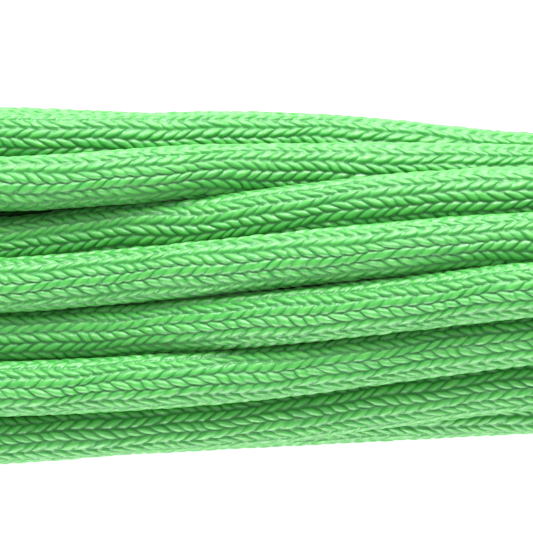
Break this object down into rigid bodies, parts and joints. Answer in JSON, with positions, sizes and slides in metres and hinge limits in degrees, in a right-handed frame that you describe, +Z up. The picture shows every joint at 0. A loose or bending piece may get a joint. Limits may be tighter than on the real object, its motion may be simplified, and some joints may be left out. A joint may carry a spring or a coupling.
{
  "type": "climbing rope hank",
  "caption": "Thin dynamic kernmantle rope with a two-over-two braided sheath, folded into a long hank, wrapped near one end, both fused ends free.",
  "frame": {"origin": "on the resting surface, under the middle of the hank's waist", "axes": "+X along the hank towards the wraps, +Z up from the resting surface"},
  "size_m": [0.4622, 0.0744, 0.058],
  "materials": {
    "sheath": "woven polyamide, satin",
    "core": "twisted polyamide filament, silky",
    "marker_tape": "thin plain tape",
    "marker_thread": "fine thread",
    "sleeve": "heat-shrunk tube, semi-gloss",
    "fused_tip": "melted polyamide"
  },
  "bodies": {
    "root": {"hank": "sheath", "inner_end_core_strand_1": "core", "inner_end_core_strand_2": "core", "inner_end_core_strand_3": "core", "inner_end_core_strand_4": "core", "inner_end_core_strand_5": "core", "inner_end_core_strand_6": "core", "inner_end_core_strand_7": "core", "inner_end_fused_tip": "fused_tip", "inner_end_marker_tape": "marker_tape", "inner_end_marker_thread": "marker_thread", "inner_end_sheath": "sheath", "inner_end_sleeve": "sleeve", "inner_tail": "sheath", "outer_end_core_strand_1": "core", "outer_end_core_strand_2": "core", "outer_end_core_strand_3": "core", "outer_end_core_strand_4": "core", "outer_end_core_strand_5": "core", "outer_end_core_strand_6": "core", "outer_end_core_strand_7": "core", "outer_end_fused_tip": "fused_tip", "outer_end_marker_tape": "marker_tape", "outer_end_marker_thread": "marker_thread", "outer_end_sheath": "sheath", "outer_end_sleeve": "sleeve", "outer_tail": "sheath", "wraps": "sheath"}
  },
  "joints": []
}
